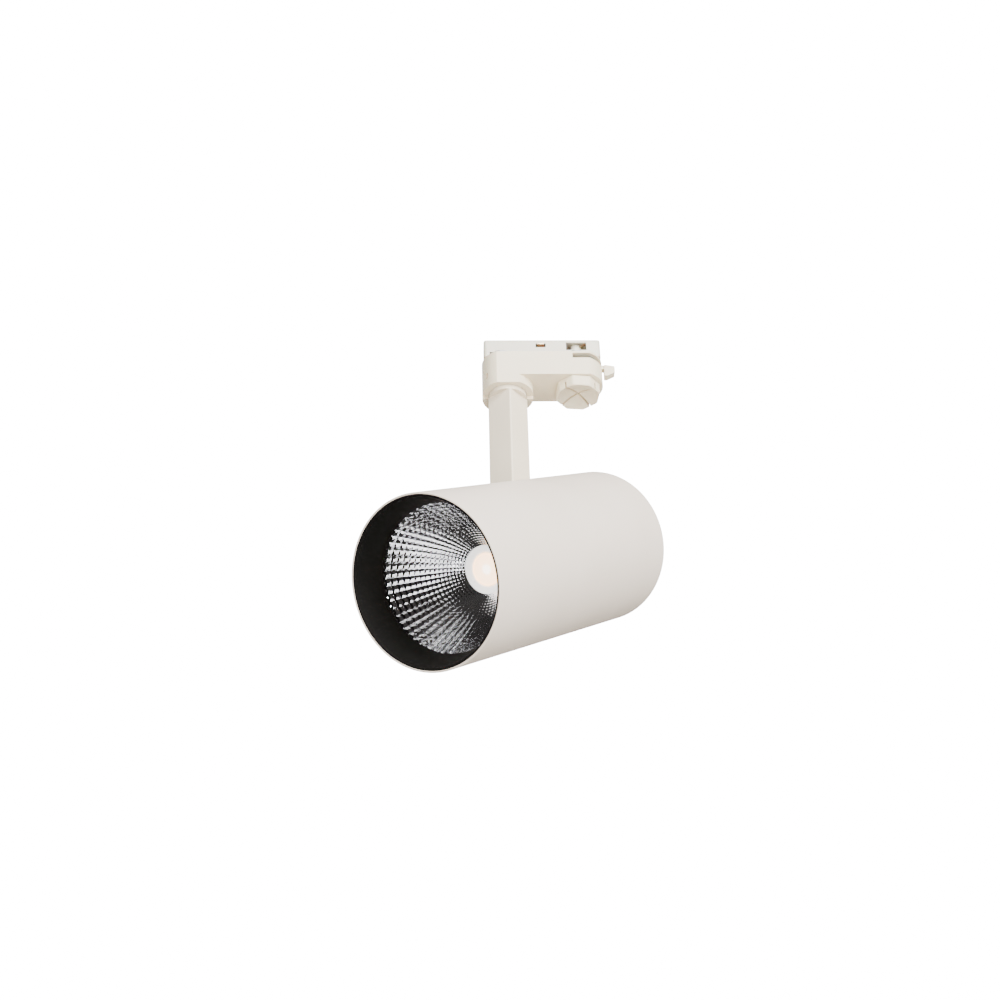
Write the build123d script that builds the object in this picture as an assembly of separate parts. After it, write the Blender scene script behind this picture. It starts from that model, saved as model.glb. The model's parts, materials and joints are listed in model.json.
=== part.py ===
from build123d import *
import os
from math import cos, degrees, pi, radians, sin, sqrt

# Track spotlight: an adapter that clamps into a three-circuit lighting rail, a square arm that
# pans under it, and a tubular head that tilts on the arm.
# Origin: on the pan axis, in the plane where the adapter's collar meets the rail's lower face.
# +X runs along the rail, -Y is the front of the adapter, +Z points up into the rail.

# ---- driving dimensions (mm, degrees) ----
head_d = 120.0            # outside diameter of the head
head_front = 112.0        # tilt axis to the front rim
head_rear = 129.0         # tilt axis to the rear end
housing_wall = 2.0
rim_lip = 1.35            # wall left at the front rim, where the anti-glare ring is let in
rim_recess = 4.5          # depth of that recess
pan_rest = 40.0           # the head is shown turned this far towards -X
tilt_rest = 30.4          # and its front tipped this far down
tilt_height = 182.4       # tilt axis below the collar plane

body_w = 36.0             # adapter, across the rail
end_r = 20.0              # round ends of the adapter, cut flat at the sides
lever_x = 55.3            # pan axis to the axis of knob and lever
body_h = 22.6             # adapter depth under the rail
boss_h = 30.4             # depth of the swivel boss, front half
stop_h = 3.0              # the boss's rear half hangs this much lower
shell_wall = 2.2

riser_w = 17.0            # the part of the adapter that enters the rail
riser_h = 17.2
riser_wall = 1.2
riser_rear = 18.5         # pan axis to the riser's -X end
riser_front = 19.2        # knob axis to the riser's +X end
riser_corner = 2.5
riser_foot = 2.4          # up to here the riser stays inside the base plate's outline
riser_sink = 0.4          # the riser's inside goes this far below the collar plane
flange_t = 2.0
cover_t = 1.6

arm_w = 22.5
arm_wall = 2.0
arm_corner = 1.4
hub_r = 14.7              # round disc on top of the arm
neck_r = 7.0
wire_bore_r = 3.2
hub_plug_l = 10.0

knob_r = 16.4
knob_h = 9.6
knob_slot = 1.7
knob_turn = 5.0           # the selector's pointer stands this far off 45 degrees
petal_root = 3.2          # the slots stop this far below the adapter
dish_r = 34.2
dish_depth = 4.3
shaft_r = 6.0
spindle_r = 2.6
drum_r = 5.0

lever_w = 5.0
lever_t = 3.5
lever_top = 2.3           # top of the lever below the collar plane
tab_l = 8.4
tab_w = 6.4
tab_h = 11.0
lever_swing = 90.0
selector_step = 45.0

cam_l = 22.0
cam_w = 9.0
cam_t = 2.4
cam_low = 4.2             # underside of the cams above the collar: the rail's lip goes between
far_cam_x = -5.0
crank_r = 4.8
crank_pin_r = 1.0
link_t = 1.2
link_w = 3.4

bolt_r = 3.0              # tilt bolt
bush_flange_t = 0.8
bush_r = 5.0
washer_t = 0.8
ear_t = 2.5
arm_clear = 1.75          # between the arm's end and the bracket's back plate

cone_depth = 24.7         # anti-glare ring, front rim to the reflector's mouth
mouth_r = 51.1
ring_front_r = 57.2
ring_wall = 1.5
neck_in_r = 17.3          # reflector, at the LED end
reflector_wall = 1.2
led_r = 11.8
led_t = 1.0
board_w = 27.0
board_t = 1.0
holder_r = 27.0
holder_screw_x = 23.8
holder_t = 3.3
pad_t = 0.3
sink_base_t = 6.0
sink_l = 17.0
fin_count = 24
fin_t = 1.6
core_r = 14.0

liner_wall = 1.25
driver_w = 74.0
driver_h = 23.5
driver_l = 96.0
driver_wall = 1.6
driver_gap = 24.0         # tilt axis to the driver's front face
rear_cover_t = 2.6
rear_recess = 0.5
rod_r = 2.5
rod_circle = 50.0
screw_r = 1.5
grub_r = 2.0              # headless screws that hold the heat sink in the housing
grub_angles = (-50.0, -130.0)   # from the head's top
rod_angles = (30, 150, 270)

# small parts inside the adapter
pillar_spots = [(24.0, 12.0), (24.0, -12.0), (39.0, 12.0), (39.0, -12.0)]
pillar_r = 3.0
pillar_hole = 12.0
stop_peg_r = 0.9          # pin in the boss that the stop washer's tooth meets
stop_circle = 12.2
stop_washer_t = 1.5
stop_tooth = 3.6
wave_t = 0.7
nut_h = 4.0
nut_r = 10.8
lock_r = 1.25             # headless screw that locks the pan, behind an oval recess
lock_in = 15.0            # pan axis to its inner end
lock_recess = 1.5
lock_angle = -145.0
lock_z = -19.5
recess_l = 6.0
recess_w = 2.6
cam_post_r = 4.0
strip_t = 0.6             # bent contact and spring strip
earth_x = (13.0, 19.0)
earth_z = (2.3, 4.1)      # the rail's lips touch the ends over this height
earth_reach = 0.6
neutral_x = (24.5, 29.5)
neutral_z = 13.0
neutral_reach = 2.2
tongue_t = 0.8
terminal_x = (17.0, 33.0)
terminal_half_w = 7.5
terminal_z = (-19.0, -9.0)
terminal_spots = [(20.5, 4.0), (20.5, -4.0), (29.5, 4.0)]
clamp_head_r = 2.5
wire_r = 0.9
wheel_r = 8.0             # notched wheel on the selector's spindle
wheel_t = 2.6
notch_r = 1.6
leaf_top = -13.2
leaf_half_l = 9.0
square_key = 4.2          # square end of the spindle in the knob
tongue_z = [10.0, 12.4, 14.8]
tongue_half_w = 1.2

# small parts inside the head
lead_y = 6.0              # supply lead, behind the tilt axis
lead_r = 2.2
led_lead_x = 25.0
led_lead_z = -25.0
led_lead_r = 1.0
bracket_spots = [(-8.0, 9.0), (8.0, 9.0), (-8.0, -9.0), (8.0, -9.0)]
pan_head_r = 2.6
rod_boss_r = 4.5
nut_t = 5.0
spring_washer_t = 1.0
standoff = 2.5            # driver board above the case's floor
board_inset = 2.0
driver_board_t = 1.6
driver_screw_y = (driver_gap + 18.0, driver_gap + 78.0)

# ---- clearances ----
running = 0.05            # a shaft that turns in its bore, radial
slide_gap = 0.1           # between flat faces that slide past each other
free_gap = 0.3            # round faces on different bodies
fit_gap = 0.2             # parts that drop into each other
slot_gap = 1.0            # each side of the arm in the head's slot

# ---- values that follow from them ----
head_r = head_d / 2
bore_r = head_r - housing_wall
slot_half = arm_w / 2 + slot_gap
recess_r = hub_r + free_gap
collar_low = -boss_h - stop_h
arm_top = collar_low - 0.6
recess_floor = -boss_h + 4.0
hub_top = recess_floor - fit_gap
boss_floor = recess_floor + 4.0
body_floor = -body_h + shell_wall
cam_top = cam_low + cam_t
link_low = cam_top + free_gap
pin_top = link_low + link_t + free_gap
drum_low = pin_top + free_gap
drum_top = riser_h - free_gap
lever_low = -lever_top - lever_t
lever_slot_low = lever_low - 0.6
lever_slot_high = -lever_top + 0.5
spindle_bottom = -body_h + 6.6
knob_top = -body_h - fit_gap
earth_y = riser_w / 2 + earth_reach
sleeve_r = riser_w / 2 - riser_wall - 0.8   # sleeve of the lever's cam in the base plate
tongue_reach = riser_w / 2 + 2.1
tongue_sweep = tongue_reach + free_gap
tongue_window = sqrt(tongue_sweep ** 2 - (riser_w / 2 - riser_wall) ** 2)
cam_window = sqrt((cam_l / 2) ** 2 - (riser_w / 2 - riser_wall) ** 2) + 0.5
washer_low = boss_floor + 0.1
stop_low = washer_low + wave_t + 0.1
stop_high = stop_low + stop_washer_t
neck_top = stop_high + nut_h + 0.8
sink_end = -(arm_w / 2 + arm_clear + ear_t)
sink_face = head_front + sink_end - sink_l
neck_depth = sink_face - holder_t
bracket_back = arm_w / 2 + arm_clear + 1.0
bracket_top = arm_w / 2 + arm_clear + 3.0
ear_in = arm_w / 2 + washer_t + slide_gap
ear_out = ear_in + ear_t
rod_spots = [(rod_circle * cos(radians(a)), rod_circle * sin(radians(a))) for a in rod_angles]
liner_in = slot_half + 0.5
liner_out = liner_in + liner_wall
liner_floor = -bracket_top + ear_t
liner_top = sqrt(bore_r ** 2 - liner_out ** 2) - free_gap
driver_top = liner_floor - liner_wall
driver_low = driver_top - driver_h
driver_y = (driver_gap, driver_gap + driver_l)
lead_drop = driver_top - 10.0
cover_y = head_rear - rear_recess - rear_cover_t

os.makedirs("parts", exist_ok=True)
nodes = {}


def group(items):
    """Separate solids that share one node."""
    return Compound([solid for item in items for solid in item.solids()])


def tube(r_out, r_in, low, high):
    """Ring or sleeve on Z between two heights."""
    return Pos(0, 0, low) * extrude(Circle(r_out) - Circle(r_in), high - low)


def rod(r, low, high):
    return Pos(0, 0, low) * extrude(Circle(r), high - low)


def block(x, y, z):
    """Box from three (low, high) pairs."""
    size = [b - a for a, b in (x, y, z)]
    centre = [(a + b) / 2 for a, b in (x, y, z)]
    return Pos(*centre) * Box(*size)


def slab(sketch, low, high):
    """A sketch drawn in plan, thickened between two heights."""
    return Pos(0, 0, low) * extrude(sketch, high - low)


def along_y(shape):
    """Turns a shape drawn round Z so that its +Z points to the head's rear (+Y)."""
    return Rot(-90, 0, 0) * shape


def along_x(shape):
    return Rot(0, 90, 0) * shape


def plan_outline(inset):
    """Adapter seen from above: two round ends cut flat at the sides."""
    r = end_r - inset
    ends = Circle(r) + Pos(lever_x, 0) * Circle(r)
    middle = Pos(lever_x / 2, 0) * Rectangle(lever_x, 2 * r)
    clip = Pos(lever_x / 2, 0) * Rectangle(lever_x + 4 * r, body_w - 2 * inset)
    return (ends + middle) & clip


def boss_outline(inset):
    return Circle(end_r - inset) & Rectangle(4 * end_r, body_w - 2 * inset)


def riser_outline(inset):
    length = riser_rear + lever_x + riser_front - 2 * inset
    centre_x = (lever_x + riser_front - riser_rear) / 2
    corner = max(riser_corner - inset, 0.5)
    return Pos(centre_x, 0) * RectangleRounded(length, riser_w - 2 * inset, corner)


def cam_outline():
    return Circle(cam_l / 2) & Rectangle(cam_w, 2 * cam_l)


def hexagon(radius):
    return RegularPolygon(radius, 6)


def screw(length, head_r, head_t, shank_r=screw_r):
    """Pan-head screw: head above z=0 with a cross recess, shank below."""
    body = rod(head_r, 0, head_t) + rod(shank_r, -length, 0)
    arm = head_r * 1.1
    cross = Box(arm, 0.5, head_t) + Box(0.5, arm, head_t)
    return body - Pos(0, 0, head_t) * cross


def sunk_screw(length, head_r):
    """Countersunk screw with its top at z=0."""
    head_t = head_r - screw_r
    body = rod(screw_r, -length, 0) + Pos(0, 0, -head_t / 2) * Cone(screw_r, head_r, head_t)
    cross = Box(head_r * 1.1, 0.5, head_t) + Box(0.5, head_r * 1.1, head_t)
    return body - cross


def sink_cut(head_r):
    head_t = head_r - screw_r
    return Pos(0, 0, -head_t / 2) * Cone(screw_r, head_r, head_t)


# ---- root: the adapter's shell and what is fixed in it ----
lock_at = Rot(0, 0, lock_angle) * Pos(0, 0, lock_z) * Rot(0, 90, 0)


def adapter_shell():
    shell = slab(plan_outline(0), -body_h, 0) + slab(boss_outline(0), -boss_h, -body_h)
    rear_half = boss_outline(0) & Pos(0, end_r) * Rectangle(4 * end_r, 2 * end_r)
    shell += slab(rear_half, collar_low, -boss_h)
    shell -= slab(plan_outline(shell_wall), body_floor, 0)
    shell -= slab(boss_outline(shell_wall), boss_floor, 0)
    shell -= rod(recess_r, collar_low, recess_floor)
    shell -= rod(neck_r + running, recess_floor, boss_floor)
    for x, y in pillar_spots:
        shell += Pos(x, y) * rod(pillar_r, body_floor, -flange_t)
        shell -= Pos(x, y) * rod(screw_r, -pillar_hole, -flange_t)
    shell += Rot(0, 0, 90) * Pos(stop_circle, 0) * rod(stop_peg_r, boss_floor, boss_floor + 3.2)
    shell -= Pos(lever_x, 0) * rod(shaft_r + running, -body_h, body_floor)
    # travel slot of the locking lever, round the front +X corner
    slot = Circle(end_r + 5) - Circle(end_r - shell_wall - 5)
    turn = degrees(lever_w / 2 / (end_r - 2)) + 6
    wedge = Polygon((0, 0), *[
        (60 * cos(radians(a)), 60 * sin(radians(a)))
        for a in (turn, -turn, -45, -lever_swing + turn, -lever_swing - turn)
    ], align=None)
    shell -= Pos(lever_x, 0) * slab(slot & wedge, lever_slot_low, lever_slot_high)
    # oval recess over the pan lock screw, which is threaded through a small boss behind it
    shell += lock_at * rod(2.6, lock_in, end_r - 1.0) - lock_at * rod(lock_r, lock_in, end_r)
    shell -= lock_at * rod(lock_r, lock_in, end_r)
    return shell - lock_at * slab(SlotOverall(recess_l, recess_w), end_r - lock_recess, end_r + 2)


def track_insert():
    # the base plate carries the riser and drops into the shell's mouth
    plate = plan_outline(shell_wall + fit_gap)
    body = slab(plate, -flange_t, 0) + slab(plate & riser_outline(0), 0, riser_foot)
    body += slab(riser_outline(0), riser_foot, riser_h)
    body -= slab(riser_outline(riser_wall), -riser_sink, riser_h)
    body -= Pos(lever_x, 0) * rod(sleeve_r + running, -flange_t, 0)
    body -= Pos(far_cam_x, 0) * rod(cam_post_r + running, -flange_t, 0)
    opening = riser_w / 2 - riser_wall
    body -= block((earth_x[0] + 1, terminal_x[1] + 1), (-opening, opening), (-flange_t, 0))
    for x in (far_cam_x, lever_x):
        window = cam_window
        body -= block((x - window, x + window), (-riser_w, riser_w), (cam_low - 0.3, cam_top + 0.3))
    body -= block((lever_x - tongue_window, lever_x + tongue_window), (-riser_w, riser_w), (drum_low, riser_h - 1.0))
    neutral_slot = (neutral_x[0] - 1.5, neutral_x[1] + 1.5)
    body -= block(neutral_slot, (-riser_w, 0), (neutral_z - 1.4, neutral_z + tongue_t + 1.6))
    earth_slot = (earth_x[0] - 1, earth_x[1] + 1)
    body -= block(earth_slot, (-riser_w, riser_w), (earth_z[0] - free_gap, earth_z[1] + free_gap))
    for x, y in pillar_spots:
        body -= Pos(x, y) * (rod(screw_r, -flange_t, 0) + sink_cut(3.0))
    return body


def insert_cover():
    cover = slab(riser_outline(0), riser_h, riser_h + cover_t)
    lip = riser_outline(riser_wall + 0.1) - riser_outline(riser_wall + 1.0)
    lip -= Pos(lever_x, 0) * Rectangle(2 * tongue_sweep, riser_w)
    cover += slab(lip, riser_h - 1.6, riser_h)
    return cover - Pos(lever_x, 0) * rod(spindle_r + running, riser_h, riser_h + cover_t)


nodes["adapter_shell"] = adapter_shell()
nodes["track_insert"] = track_insert()
nodes["insert_cover"] = insert_cover()

# earth springs: a bent strip across the riser whose ends press on the rail's lips
earth = block(earth_x, (-earth_y, earth_y), (earth_z[0], earth_z[0] + strip_t))
for side in (-1, 1):
    y = sorted((side * earth_y, side * (earth_y - strip_t)))
    earth += block(earth_x, y, earth_z)
nodes["earth_contacts"] = earth

# neutral contact: a tongue through the riser's -Y side on a post that comes up from the terminals
neutral_y = -(riser_w / 2 + neutral_reach)
neutral_post = -riser_w / 2 + riser_wall + 0.9
neutral = block(neutral_x, (neutral_y, neutral_post), (neutral_z, neutral_z + tongue_t))
neutral += block(neutral_x, (neutral_post - tongue_t, neutral_post), (terminal_z[1], neutral_z))
nodes["neutral_contact"] = neutral

# terminal block under the base plate's opening, and its clamp screws
terminal_y = (-terminal_half_w, terminal_half_w)
clamp_z = terminal_z[1] - 1.6
terminal = block(terminal_x, terminal_y, terminal_z)
for x, y in terminal_spots:
    terminal -= Pos(x, y) * rod(screw_r, terminal_z[0] + 3.0, terminal_z[1])
    terminal -= Pos(x, y) * rod(clamp_head_r + 0.1, clamp_z, terminal_z[1])
terminal += block(terminal_x, terminal_y, (body_floor, terminal_z[0]))
nodes["terminal_block"] = terminal
nodes["terminal_screws"] = group([
    Pos(x, y, clamp_z) * screw(5.0, clamp_head_r, 1.4) for x, y in terminal_spots
])
nodes["adapter_screws"] = group([Pos(x, y, 0) * sunk_screw(9.0, 3.0) for x, y in pillar_spots])

# wave washer under the stop washer, and the leaf that clicks the selector into place
nodes["wave_washer"] = tube(10.5, neck_r + fit_gap, boss_floor, washer_low + wave_t)
leaf_x = lever_x - wheel_r - 1.0
leaf = block((leaf_x - 0.5, leaf_x), (-leaf_half_l, leaf_half_l), (leaf_top - 4.2, leaf_top))
leaf += Pos(leaf_x, 0) * block((-0.3, 0.7), (-1.2, 1.2), (spindle_bottom, spindle_bottom + wheel_t))
for side in (-1, 1):
    foot = sorted((side * leaf_half_l, side * (leaf_half_l + 1.0)))
    leaf += block((leaf_x - 3.0, leaf_x), foot, (body_floor, leaf_top))
nodes["detent_spring"] = leaf

# pan lock screw: a small headless screw behind the oval recess
lock_out = end_r - lock_recess - 0.3
lock_screw = rod(lock_r, lock_in, lock_out) - Pos(0, 0, lock_out) * Box(2.0, 0.5, 1.2)
nodes["pan_lock_screw"] = lock_at * lock_screw

# wires from the terminals to the swivel's bore
wires = []
for x, y in terminal_spots[:2]:
    route = FilletPolyline((17.0, y, -12.0), (9.0, y, -12.0), (2.2, y * 0.35, -9.5), radius=6.0)
    start = Plane(origin=route @ 0, z_dir=route % 0)
    wires.append(sweep(start * Circle(wire_r), path=route))
nodes["adapter_wires"] = group(wires)


# ---- circuit selector: knob, spindle and the three phase tongues ----
def selector_knob():
    knob_low = knob_top - knob_h
    petals = RegularPolygon(knob_r / cos(pi / 8), 8, rotation=22.5 + knob_turn)
    knob = slab(petals, knob_low, knob_top)
    knob = fillet(knob.edges().filter_by(Axis.Z), 3.2)
    knob = fillet(knob.faces().sort_by(Axis.Z)[0].edges(), 1.6)
    # the end is dished towards the middle, and two crossing slots part it into four petals
    knob -= Pos(0, 0, knob_low + dish_depth - dish_r) * Sphere(dish_r)
    for angle in (45, 135):
        reach = knob_r * 1.2
        cut = block((-reach, reach), (-knob_slot / 2, knob_slot / 2), (knob_low - 1, knob_top - petal_root))
        knob -= Rot(0, 0, angle + knob_turn) * cut
    knob += rod(shaft_r, knob_top - petal_root, spindle_bottom)
    key_hole = (-square_key / 2 - 0.1, square_key / 2 + 0.1)
    knob -= block(key_hole, key_hole, (spindle_bottom - 4.0, spindle_bottom))
    return Pos(lever_x, 0) * knob


def selector_spindle():
    key = (-square_key / 2, square_key / 2)
    body = block(key, key, (spindle_bottom - 3.8, spindle_bottom))
    wheel = Circle(wheel_r)
    for i in range(8):
        wheel -= Rot(0, 0, i * 45) * Pos(-wheel_r - 0.6, 0) * Circle(notch_r)
    body += rod(4.5, spindle_bottom, -8.0)
    body += slab(wheel, spindle_bottom, spindle_bottom + wheel_t)
    body += rod(spindle_r, -8.0, riser_h + cover_t)
    body += rod(drum_r, drum_low, drum_top)
    return Pos(lever_x, 0) * body


def phase_contacts():
    tongues = []
    for i, z in enumerate(tongue_z):
        width = (-tongue_half_w, tongue_half_w)
        tongue = block(width, (drum_r, tongue_reach), (z, z + tongue_t))
        tongue += block(width, (drum_r, drum_r + strip_t), (z, z + 1.8))
        tongues.append(Pos(lever_x, 0) * Rot(0, 0, -selector_step * (i + 1)) * tongue)
    return group(tongues)


nodes["selector_knob"] = selector_knob()
nodes["selector_spindle"] = selector_spindle()
nodes["phase_contacts"] = phase_contacts()


# ---- locking lever, its cam, the far cam and the link between them ----
def lock_lever():
    hub_low = lever_low - 0.4
    body = tube(9.0, spindle_r + 0.4, hub_low, -flange_t - slide_gap)
    tab_start = end_r + 1.7
    neck = block((spindle_r + 2, tab_start + 1), (-lever_w / 2, lever_w / 2), (lever_low, -lever_top))
    body += neck - rod(5.0, hub_low, 0)
    top = -lever_top + 0.3
    side = Polygon(
        (tab_start, top), (tab_start + tab_l, top - 1.6), (tab_start + tab_l, top - 7.6),
        (tab_start + 2.2, top - tab_h), (tab_start, top - tab_h), align=None
    )
    tab = extrude(Plane.XZ * side, tab_w / 2, both=True)
    tab = fillet(tab.edges().filter_by(Axis.Y), 0.9)
    body += tab
    key = block((-3.6, 3.6), (-3.6, 3.6), (-flange_t - 2.0, -flange_t))
    return Pos(lever_x, 0) * (body - key)


def lock_cam():
    cam = slab(cam_outline(), cam_low, cam_top)
    cam += rod(sleeve_r, -flange_t, cam_low)
    cam += block((-3.5, 3.5), (-3.5, 3.5), (-flange_t - 1.9, -flange_t))
    cam += Pos(-crank_r, 0) * rod(crank_pin_r, cam_top, pin_top)
    cam -= rod(spindle_r + free_gap, -10.0, pin_top)
    return Pos(lever_x, 0) * cam


def far_cam():
    cam = slab(cam_outline(), cam_low, cam_top)
    cam += rod(cam_post_r, -flange_t, cam_low) + rod(cam_post_r + 1.5, slide_gap, cam_low)
    cam += rod(cam_post_r + 1.0, -flange_t - 1.2, -flange_t - slide_gap) + rod(2.0, -flange_t - 1.0, 0)
    cam += Pos(-crank_r, 0) * rod(crank_pin_r, cam_top, pin_top)
    return Pos(far_cam_x, 0) * cam


def lock_link():
    length = lever_x - far_cam_x
    bar = Pos(far_cam_x - crank_r + length / 2, 0) * SlotCenterToCenter(length, link_w)
    bar -= Pos(lever_x - crank_r, 0) * Circle(crank_pin_r + running)
    bar -= Pos(far_cam_x - crank_r, 0) * Circle(crank_pin_r + 0.2)
    return slab(bar, link_low, link_low + link_t)


nodes["lock_lever"] = lock_lever()
nodes["lock_cam"] = lock_cam()
nodes["far_cam"] = far_cam()
nodes["lock_link"] = lock_link()

# ---- arm: hub, nut and washers in the boss, square tube down to the tilt axis ----
arm_at = Rot(0, 0, -pan_rest)


def swivel_hub():
    hub = rod(hub_r, arm_top, hub_top) + rod(neck_r, hub_top, neck_top)
    inner = arm_w - 2 * arm_wall - 0.1
    hub += block((-inner / 2, inner / 2), (-inner / 2, inner / 2), (arm_top - hub_plug_l, arm_top))
    return hub - rod(wire_bore_r, arm_top - hub_plug_l, neck_top)


def stop_washer():
    washer = Circle(11.0) - Circle(neck_r)
    washer += Rot(0, 0, -90) * Pos(11.5, 0) * Rectangle(stop_tooth, 2 * stop_peg_r - 0.2)
    return slab(washer, stop_low, stop_high)


def arm_tube():
    section = RectangleRounded(arm_w, arm_w, arm_corner)
    section -= Rectangle(arm_w - 2 * arm_wall, arm_w - 2 * arm_wall)
    tube_body = slab(section, -tilt_height - arm_w / 2, arm_top)
    keep = block((-arm_w, arm_w), (-arm_w, arm_w), (-tilt_height, arm_top))
    keep += Pos(0, 0, -tilt_height) * along_x(rod(arm_w / 2, -arm_w, arm_w))
    tube_body = tube_body & keep
    return tube_body - Pos(0, 0, -tilt_height) * along_x(rod(bush_r, -arm_w, arm_w))


def pivot_bushes():
    bush = tube(bush_r, bolt_r + running, arm_w / 2 - arm_wall, arm_w / 2)
    inside = arm_w / 2 - arm_wall
    bush += tube(bush_r + 1.5, bolt_r + running, inside - bush_flange_t, inside)
    at = Pos(0, 0, -tilt_height)
    return group([at * along_x(bush), at * Rot(0, 0, 180) * along_x(bush)])


def friction_washers():
    ring = tube(9.0, bolt_r + running, arm_w / 2, arm_w / 2 + washer_t)
    at = Pos(0, 0, -tilt_height)
    return group([at * along_x(ring), at * Rot(0, 0, 180) * along_x(ring)])


nodes["swivel_hub"] = arm_at * swivel_hub()
nodes["stop_washer"] = arm_at * stop_washer()
nodes["swivel_nut"] = arm_at * slab(hexagon(nut_r) - Circle(neck_r), stop_high, stop_high + nut_h)
nodes["arm_tube"] = arm_at * arm_tube()
nodes["pivot_bushes"] = arm_at * pivot_bushes()
nodes["friction_washers"] = arm_at * friction_washers()
nodes["arm_lead"] = arm_at * rod(2.4, -tilt_height + bolt_r + 4, neck_top - 1)

# ---- head: drawn level, with the tilt axis on X through the origin and its front at -Y ----
head_at = Rot(0, 0, -pan_rest) * Pos(0, 0, -tilt_height) * Rot(tilt_rest, 0, 0)


def lathe(points):
    """Turned part from (radius, distance behind the rim) points."""
    return revolve(Plane.XY * Polygon(*[(r, s - head_front) for r, s in points], align=None), Axis.Y)


def housing():
    y_rear = head_front + head_rear
    body = lathe([
        (head_r - 0.5, 0), (head_r, 0.5), (head_r, y_rear - 0.6), (head_r - 0.6, y_rear), (bore_r, y_rear),
        (bore_r, rim_recess), (head_r - rim_lip, rim_recess), (head_r - rim_lip, 0.3),
        (head_r - rim_lip + 0.3, 0)
    ])
    # the slot runs out at the rear end, where the arm lies when the head points straight down
    body -= block((-slot_half, slot_half), (-slot_half, head_rear + 1), (0, head_r + 1))
    for angle in grub_angles:
        body -= radial(angle) * rod(grub_r, -8.0, 1.0)
    return body


def radial(angle):
    """Place on the head's skin over the heat sink's base, +Z outwards; angle is from the top."""
    y = sink_face + sink_base_t / 2 - head_front
    return Pos(0, y, 0) * Rot(0, angle, 0) * Pos(0, 0, head_r)


def anti_glare_ring():
    r0 = head_r - rim_lip - 0.05
    return lathe([
        (r0, 0.5), (ring_front_r + 0.5, 0.4), (ring_front_r, 0.9), (mouth_r + 0.2, cone_depth),
        (mouth_r + 0.2 + ring_wall, cone_depth), (ring_front_r + 0.3, rim_recess + 1.5),
        (bore_r - 0.1, rim_recess + 0.1), (bore_r - 0.1, rim_recess - 0.1), (r0, rim_recess - 0.1)
    ])


def reflector_curve(offset):
    """Mouth, middle and neck of the reflector, pushed out by offset."""
    depth = neck_depth - cone_depth
    rise = (mouth_r ** 2 - neck_in_r ** 2) / depth
    middle_s = cone_depth + depth * 0.5
    middle_r = sqrt(mouth_r ** 2 - rise * depth * 0.5)
    low = (mouth_r + offset, cone_depth + 0.1)
    mid = (middle_r + offset * 0.8, middle_s + offset * 0.6)
    high = (neck_in_r + offset, neck_depth)
    return [(r, s - head_front) for r, s in (low, mid, high)]


def reflector():
    inner, outer = reflector_curve(0), reflector_curve(reflector_wall)
    flange_r = mouth_r + 3.4
    y0, y1 = inner[0][1], inner[0][1] + reflector_wall
    edges = [
        ThreePointArc(*inner), Line(inner[2], outer[2]), ThreePointArc(outer[2], outer[1], (outer[0][0], y1)),
        Line((outer[0][0], y1), (flange_r, y1)), Line((flange_r, y1), (flange_r, y0)),
        Line((flange_r, y0), inner[0])
    ]
    return revolve(make_face(Wire(edges)), Axis.Y)


def optic(shape):
    """Moves a part drawn on Z, with Z=0 on the heat sink's face and +Z to the front, into place."""
    return Pos(0, sink_face - head_front, 0) * Rot(90, 0, 0) * shape


def cob_holder():
    body = rod(holder_r, 0, holder_t) - rod(led_r + 0.4, 0, holder_t)
    body -= Pos(0, 0, holder_t - 0.9) * Cone(led_r + 0.4, neck_in_r - 0.4, 1.8)
    body -= Box(board_w + 0.4, board_w + 0.4, 2 * (pad_t + board_t))
    for x in (-holder_screw_x, holder_screw_x):
        body -= Pos(x, 0) * rod(screw_r, 0, holder_t)
    return body


def heat_sink():
    y0 = sink_face - head_front
    disc = rod(bore_r - fit_gap, 0, sink_base_t)
    body = disc + rod(core_r, 0, sink_l)
    for i in range(fin_count):
        fin = block((core_r - 1, bore_r - fit_gap - 2.0), (-fin_t / 2, fin_t / 2), (sink_base_t, sink_l))
        body += Rot(0, 0, (i + 0.5) * 360 / fin_count) * fin
    for x, z in rod_spots:
        body += Pos(x, -z) * rod(rod_boss_r, sink_base_t, sink_l)
    body = Pos(0, y0, 0) * along_y(body)
    for x in (-holder_screw_x, holder_screw_x):
        body -= optic(Pos(x, 0) * rod(screw_r, -5.0, 0))
    for x, z in bracket_spots:
        body -= Pos(x, y0 + sink_l, z) * along_y(rod(screw_r, -7.0, 0))
    for x, z in rod_spots:
        body -= Pos(x, y0 + sink_l, z) * along_y(rod(1.6, -6.0, 0))
    body -= Pos(led_lead_x, y0, led_lead_z) * along_y(rod(led_lead_r + 1.4, 0, sink_base_t))
    for angle in grub_angles:
        body -= radial(angle) * rod(grub_r, -8.0, 0)
    return body


def pivot_bracket():
    low = -bracket_top
    plate = block((-ear_out, ear_out), (sink_end, sink_end + ear_t), (low, bracket_top))
    plate += block((-ear_out, ear_out), (sink_end, bracket_back), (low, low + ear_t))
    for side in (-1, 1):
        x = sorted((side * ear_in, side * ear_out))
        plate += block(x, (sink_end, bracket_back), (low, bracket_top))
    plate -= along_x(rod(bolt_r + running, -ear_out, ear_out))
    for x, z in bracket_spots:
        plate -= Pos(x, sink_end, z) * along_y(rod(screw_r + 0.1, 0, ear_t))
    return plate - Pos(0, lead_y, low) * rod(lead_r + 0.6, 0, ear_t)


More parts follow.
